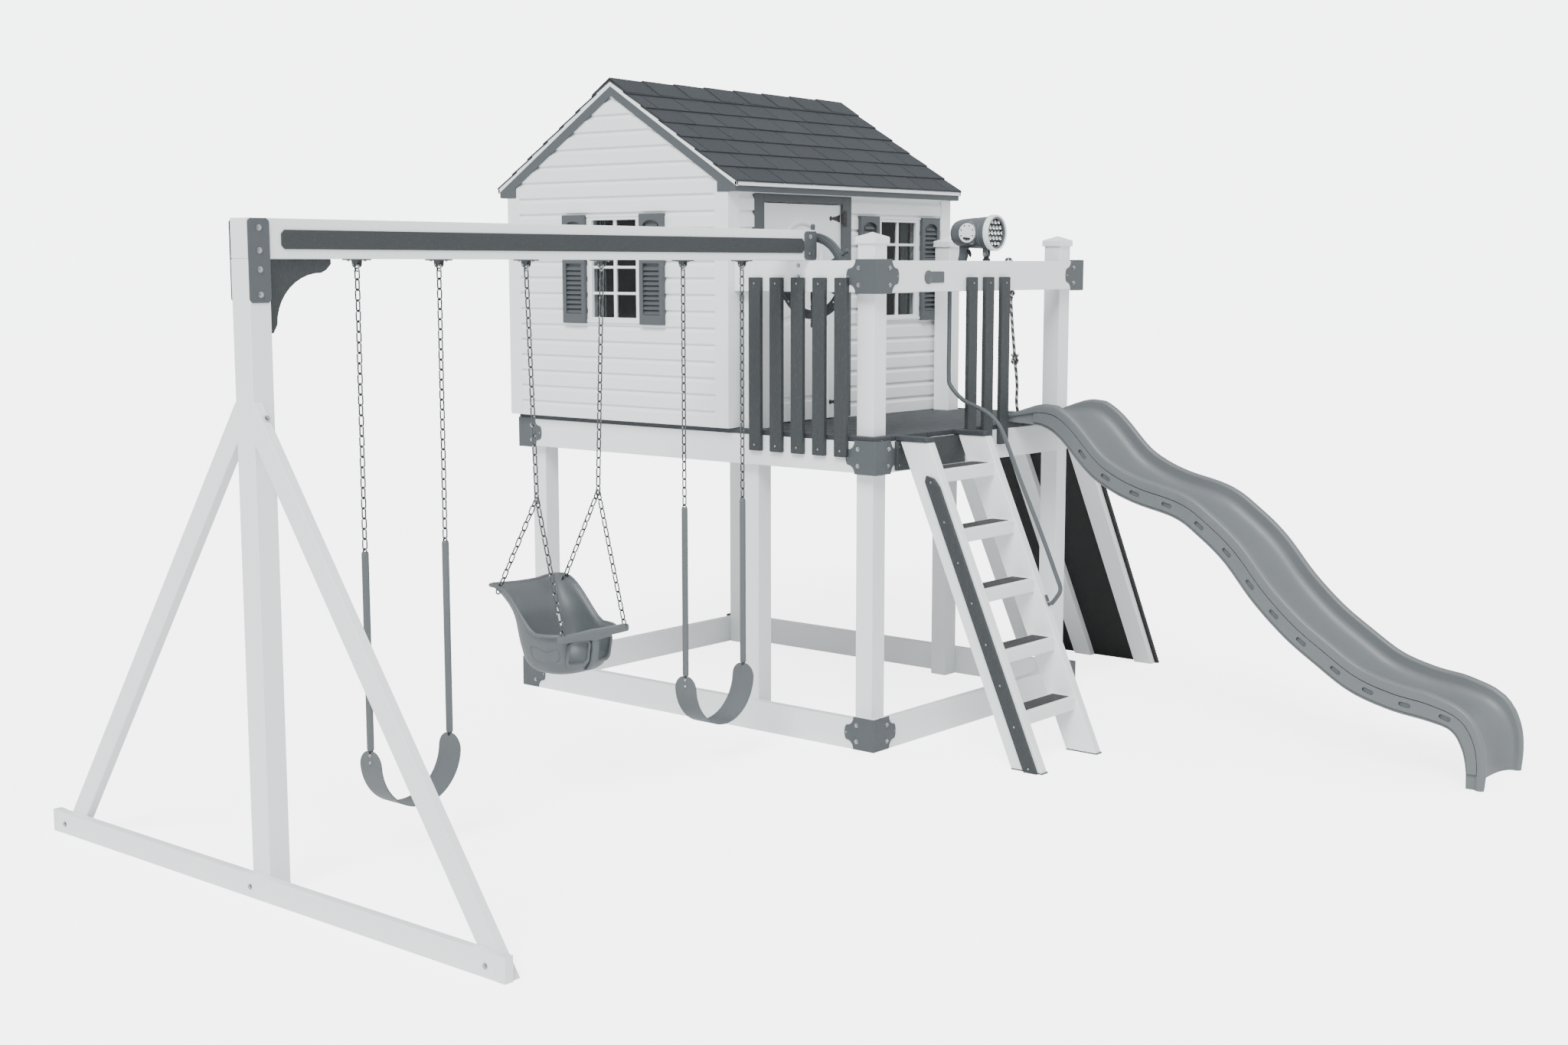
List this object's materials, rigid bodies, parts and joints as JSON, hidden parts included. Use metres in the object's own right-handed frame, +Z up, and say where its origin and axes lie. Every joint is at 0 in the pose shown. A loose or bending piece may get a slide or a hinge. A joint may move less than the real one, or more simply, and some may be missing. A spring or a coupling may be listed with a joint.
{
  "type": "raised playhouse set",
  "caption": "Raised vinyl playhouse with railed porch, wave slide, ladder, climbing panel with rope, and a beam of belt and bucket swings.",
  "frame": {"origin": "centre of the footprint's bounding box on the ground", "axes": "+X along the swing beam from the A-frame towards the tower, +Y from the porch to the house, +Z up"},
  "size_m": [6.125, 5.1482, 3.3431],
  "materials": {
    "white_vinyl": "satin vinyl sleeve",
    "white_door": "satin moulded skin",
    "poly_board": "speckled wood-grain board",
    "deck_board": "grooved board",
    "slate_paint": "fine texture",
    "shingle_grit": "mineral grit",
    "slide_plastic": "satin rotomoulded",
    "swing_plastic": "satin moulded",
    "zinc_chain": "galvanised",
    "black_panel": "grained",
    "rope_fibre": "braided",
    "steel_tube": "powder coat",
    "lamp_shell": "satin",
    "black_plastic": "satin"
  },
  "bodies": {
    "playset": {"post_front_left": "white_vinyl", "post_front_right": "white_vinyl", "post_mid_left": "white_vinyl", "post_mid_right": "white_vinyl", "post_rear_left": "white_vinyl", "post_rear_right": "white_vinyl", "ground_frame": "white_vinyl", "deck_rim": "white_vinyl", "top_rail": "white_vinyl", "house_walls": "white_vinyl", "gable_window": "white_vinyl", "porch_window": "white_vinyl", "ladder_stringer_left": "white_vinyl", "ladder_stringer_right": "white_vinyl", "ladder_tread_1": "white_vinyl", "ladder_tread_2": "white_vinyl", "ladder_tread_3": "white_vinyl", "ladder_tread_4": "white_vinyl", "ladder_tread_5": "white_vinyl", "rock_wall_rib_near": "white_vinyl", "rock_wall_rib_far": "white_vinyl", "swing_beam": "white_vinyl", "a_frame_post": "white_vinyl", "a_frame_base": "white_vinyl", "a_frame_brace_front": "white_vinyl", "a_frame_brace_rear": "white_vinyl", "deck": "deck_board", "left_baluster_1": "poly_board", "left_baluster_2": "poly_board", "left_baluster_3": "poly_board", "left_baluster_4": "poly_board", "left_baluster_5": "poly_board", "front_baluster_1": "poly_board", "front_baluster_2": "poly_board", "front_baluster_3": "poly_board", "roof": "shingle_grit", "roof_trim": "slate_paint", "gable_shutter_front": "slate_paint", "gable_shutter_rear": "slate_paint", "porch_shutter_left": "slate_paint", "porch_shutter_right": "slate_paint", "handrail": "steel_tube", "slide": "slide_plastic", "rock_wall_panel": "black_panel", "climbing_rope": "rope_fibre", "searchlight_base": "black_plastic"},
    "door": {"door": "white_door"},
    "outer_swing": {"outer_swing_chain_left": "zinc_chain", "outer_swing_chain_right": "zinc_chain", "outer_swing_seat": "swing_plastic"},
    "toddler_swing": {"toddler_swing_chain_left": "zinc_chain", "toddler_swing_chain_right": "zinc_chain", "toddler_swing_seat": "swing_plastic"},
    "inner_swing": {"inner_swing_chain_left": "zinc_chain", "inner_swing_chain_right": "zinc_chain", "inner_swing_seat": "swing_plastic"},
    "wheel": {"ships_wheel": "slate_paint"},
    "searchlight_turntable": {"searchlight_yoke": "black_plastic"},
    "searchlight_lamp": {"searchlight_head": "lamp_shell"},
    "searchlight_pull": {"searchlight_trigger": "black_plastic"}
  },
  "joints": [
    {"name": "door_hinge", "type": "hinge", "parent": "playset", "child": "door", "pos_m": [1.09152, 0.9043, 1.5493], "axis": [0, 0, 1], "range_deg": [0, 90]},
    {"name": "outer_swing_pivot", "type": "hinge", "parent": "playset", "child": "outer_swing", "pos_m": [-2.28498, 0.457, 2.3493], "axis": [1, 0, 0], "range_deg": [-45, 45]},
    {"name": "toddler_swing_pivot", "type": "hinge", "parent": "playset", "child": "toddler_swing", "pos_m": [-1.38748, 0.457, 2.3493], "axis": [1, 0, 0], "range_deg": [-45, 45]},
    {"name": "inner_swing_pivot", "type": "hinge", "parent": "playset", "child": "inner_swing", "pos_m": [-0.43698, 0.457, 2.3493], "axis": [1, 0, 0], "range_deg": [-45, 45]},
    {"name": "wheel_spin", "type": "hinge", "parent": "playset", "child": "wheel", "pos_m": [0.29352, 0.462, 2.318], "axis": [1, 0, 0], "continuous": true},
    {"name": "searchlight_pan", "type": "hinge", "parent": "playset", "child": "searchlight_turntable", "pos_m": [1.26552, 0.077, 2.374], "axis": [0, 0, 1], "range_deg": [-45, 25]},
    {"name": "searchlight_tilt", "type": "hinge", "parent": "searchlight_turntable", "child": "searchlight_lamp", "pos_m": [1.26552, 0.077, 2.425], "axis": [1, 0, 0], "range_deg": [-20, 20]},
    {"name": "searchlight_trigger_pull", "type": "hinge", "parent": "searchlight_lamp", "child": "searchlight_pull", "pos_m": [1.26552, 0.188, 2.45], "axis": [1, 0, 0], "range_deg": [0, 8], "stiffness_Nm_per_rad": 0.2, "springref_deg": -5.73}
  ]
}
